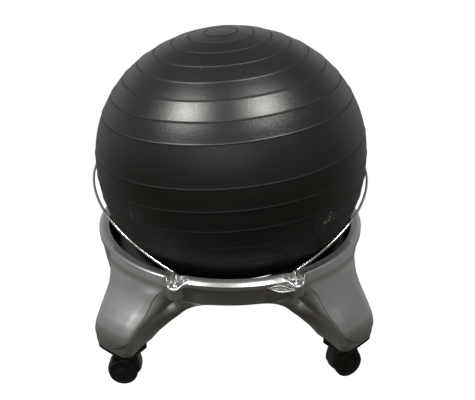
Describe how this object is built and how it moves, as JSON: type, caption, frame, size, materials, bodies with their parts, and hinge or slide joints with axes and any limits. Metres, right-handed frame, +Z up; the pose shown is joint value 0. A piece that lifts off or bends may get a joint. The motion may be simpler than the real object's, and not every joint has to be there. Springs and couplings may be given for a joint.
{
  "type": "balance ball chair",
  "caption": "Backless balance ball chair: a large inflated ball pressed into a round moulded base on splayed legs with twin-wheel casters, held by side retaining bars.",
  "frame": {"origin": "on the floor under the middle of the base, at the bottom centre of the object's box", "axes": "+Z up, -Y to the front where the two retaining bars' front ends and the blank pad are, +X to the sitter's left, which is the right as seen from the front; legs on the diagonals"},
  "size_m": [0.5304, 0.5201, 0.6207],
  "materials": {
    "ball_skin": "satin black vinyl with fine raised rings",
    "plug_white": "black soft plastic",
    "base_grey": "silver-grey satin moulded plastic",
    "foot_black": "black moulded plastic",
    "caster_black": "glossy black nylon",
    "wheel_black": "black nylon, slightly worn tread",
    "bright_zinc": "bright zinc plated steel",
    "steel": "plain steel"
  },
  "bodies": {
    "base": {"seat_ring": "base_grey", "blank_pad": "base_grey", "leg_front_left": "base_grey", "foot_insert_front_left": "foot_black", "stem_socket_front_left": "steel", "leg_front_right": "base_grey", "foot_insert_front_right": "foot_black", "stem_socket_front_right": "steel", "leg_rear_left": "base_grey", "foot_insert_rear_left": "foot_black", "stem_socket_rear_left": "steel", "leg_rear_right": "base_grey", "foot_insert_rear_right": "foot_black", "stem_socket_rear_right": "steel", "retaining_bar_left": "bright_zinc", "retaining_bar_right": "bright_zinc", "upper_nuts": "bright_zinc", "upper_washers": "bright_zinc", "lower_nuts": "bright_zinc"},
    "ball": {"exercise_ball": "ball_skin"},
    "plug": {"valve_plug": "plug_white"},
    "caster_front_left": {"caster_front_left_hood": "caster_black", "caster_front_left_stem": "steel", "caster_front_left_axle": "steel"},
    "wheel_front_left_left": {"caster_front_left_wheel_left": "wheel_black"},
    "wheel_front_left_right": {"caster_front_left_wheel_right": "wheel_black"},
    "caster_front_right": {"caster_front_right_hood": "caster_black", "caster_front_right_stem": "steel", "caster_front_right_axle": "steel"},
    "wheel_front_right_left": {"caster_front_right_wheel_left": "wheel_black"},
    "wheel_front_right_right": {"caster_front_right_wheel_right": "wheel_black"},
    "caster_rear_left": {"caster_rear_left_hood": "caster_black", "caster_rear_left_stem": "steel", "caster_rear_left_axle": "steel"},
    "wheel_rear_left_left": {"caster_rear_left_wheel_left": "wheel_black"},
    "wheel_rear_left_right": {"caster_rear_left_wheel_right": "wheel_black"},
    "caster_rear_right": {"caster_rear_right_hood": "caster_black", "caster_rear_right_stem": "steel", "caster_rear_right_axle": "steel"},
    "wheel_rear_right_left": {"caster_rear_right_wheel_left": "wheel_black"},
    "wheel_rear_right_right": {"caster_rear_right_wheel_right": "wheel_black"}
  },
  "joints": [
    {"name": "ball_turn", "type": "hinge", "parent": "base", "child": "ball", "pos_m": [0.002, 0, 0.384], "axis": [-0.0769, 0.0634, 0.995], "continuous": true},
    {"name": "plug_pull", "type": "slide", "parent": "ball", "child": "plug", "axis": [-0.0188, 0.9768, 0.2133], "range_m": [0, 0.02]},
    {"name": "swivel_front_left", "type": "hinge", "parent": "base", "child": "caster_front_left", "pos_m": [-0.20082, -0.20082, 0.06], "axis": [0, 0, 1], "continuous": true},
    {"name": "roll_front_left_left", "type": "hinge", "parent": "caster_front_left", "child": "wheel_front_left_left", "pos_m": [-0.21077, -0.19989, 0.0278], "axis": [-0.0924, -0.9957, 0], "continuous": true},
    {"name": "roll_front_left_right", "type": "hinge", "parent": "caster_front_left", "child": "wheel_front_left_right", "pos_m": [-0.21077, -0.19989, 0.0278], "axis": [-0.0924, -0.9957, 0], "continuous": true},
    {"name": "swivel_front_right", "type": "hinge", "parent": "base", "child": "caster_front_right", "pos_m": [0.20082, -0.20082, 0.06], "axis": [0, 0, 1], "continuous": true},
    {"name": "roll_front_right_left", "type": "hinge", "parent": "caster_front_right", "child": "wheel_front_right_left", "pos_m": [0.20994, -0.19672, 0.0278], "axis": [-0.4099, 0.9121, 0], "continuous": true},
    {"name": "roll_front_right_right", "type": "hinge", "parent": "caster_front_right", "child": "wheel_front_right_right", "pos_m": [0.20994, -0.19672, 0.0278], "axis": [-0.4099, 0.9121, 0], "continuous": true},
    {"name": "swivel_rear_left", "type": "hinge", "parent": "base", "child": "caster_rear_left", "pos_m": [-0.20082, 0.20082, 0.06], "axis": [0, 0, 1], "continuous": true},
    {"name": "roll_rear_left_left", "type": "hinge", "parent": "caster_rear_left", "child": "wheel_rear_left_left", "pos_m": [-0.20551, 0.20965, 0.0278], "axis": [-0.8829, -0.4695, 0], "continuous": true},
    {"name": "roll_rear_left_right", "type": "hinge", "parent": "caster_rear_left", "child": "wheel_rear_left_right", "pos_m": [-0.20551, 0.20965, 0.0278], "axis": [-0.8829, -0.4695, 0], "continuous": true},
    {"name": "swivel_rear_right", "type": "hinge", "parent": "base", "child": "caster_rear_right", "pos_m": [0.20082, 0.20082, 0.06], "axis": [0, 0, 1], "continuous": true},
    {"name": "roll_rear_right_left", "type": "hinge", "parent": "caster_rear_right", "child": "wheel_rear_right_left", "pos_m": [0.20489, 0.20995, 0.0278], "axis": [-0.9135, 0.4067, 0], "continuous": true},
    {"name": "roll_rear_right_right", "type": "hinge", "parent": "caster_rear_right", "child": "wheel_rear_right_right", "pos_m": [0.20489, 0.20995, 0.0278], "axis": [-0.9135, 0.4067, 0], "continuous": true}
  ]
}
